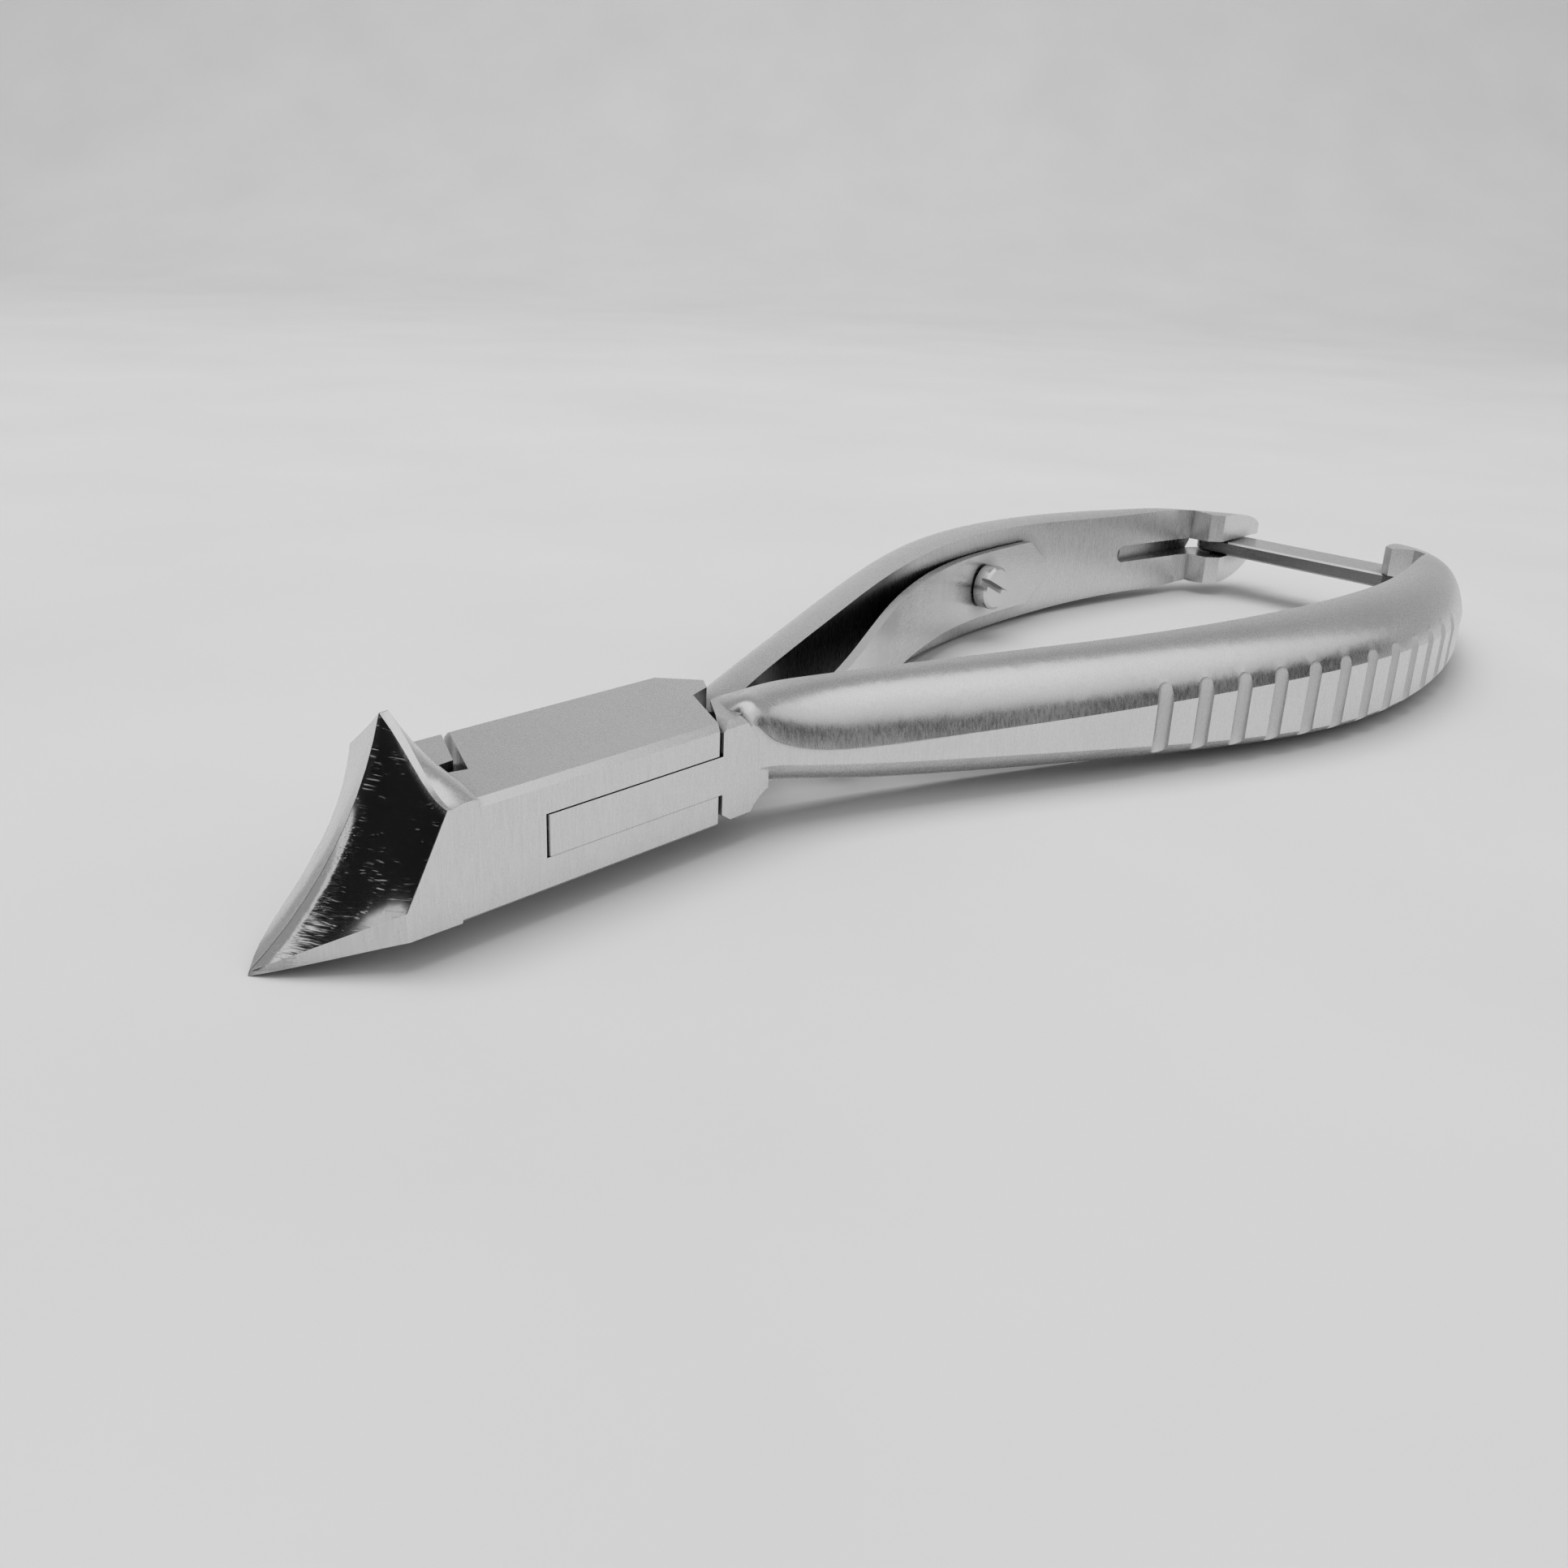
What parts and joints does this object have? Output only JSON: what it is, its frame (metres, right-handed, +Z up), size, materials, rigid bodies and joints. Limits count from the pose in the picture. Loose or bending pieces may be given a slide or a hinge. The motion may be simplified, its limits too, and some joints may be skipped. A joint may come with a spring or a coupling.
{
  "type": "nail nipper",
  "caption": "Pedicure nail nipper with concave oblique jaws, box joint, crossed leaf springs, hooked grooved handles and a swinging lock bar.",
  "frame": {"origin": "centre of the footprint on the table, with the nipper lying flat and closed", "axes": "+X from the jaws to the handle ends, +Y towards the handle with the lock bar, +Z up, along the pivot"},
  "size_m": [0.1399, 0.0496, 0.0136],
  "materials": {
    "forged_steel": "satin",
    "pin_steel": "satin",
    "spring_steel": "satin",
    "screw_steel": "polished",
    "lock_steel": "satin"
  },
  "bodies": {
    "box_side": {"box_lever": "forged_steel", "pivot_pin": "pin_steel", "fork_leaf_spring": "spring_steel", "fork_leaf_screw": "screw_steel", "lock_pin": "pin_steel"},
    "tongue_side": {"tongue_lever": "forged_steel", "tongue_leaf_spring": "spring_steel", "tongue_leaf_screw": "screw_steel"},
    "lock": {"lock_bar": "lock_steel"}
  },
  "joints": [
    {"name": "jaw_pivot", "type": "hinge", "parent": "box_side", "child": "tongue_side", "pos_m": [-0.0458, 0, 0.00555], "axis": [0, 0, -1], "range_deg": [0, 18], "deforming": ["fork_leaf_spring", "tongue_leaf_spring"]},
    {"name": "lock_swing", "type": "hinge", "parent": "box_side", "child": "lock", "pos_m": [0.0642, 0.0126, 0.00555], "axis": [0, 0, -1], "range_deg": [0, 86]}
  ]
}
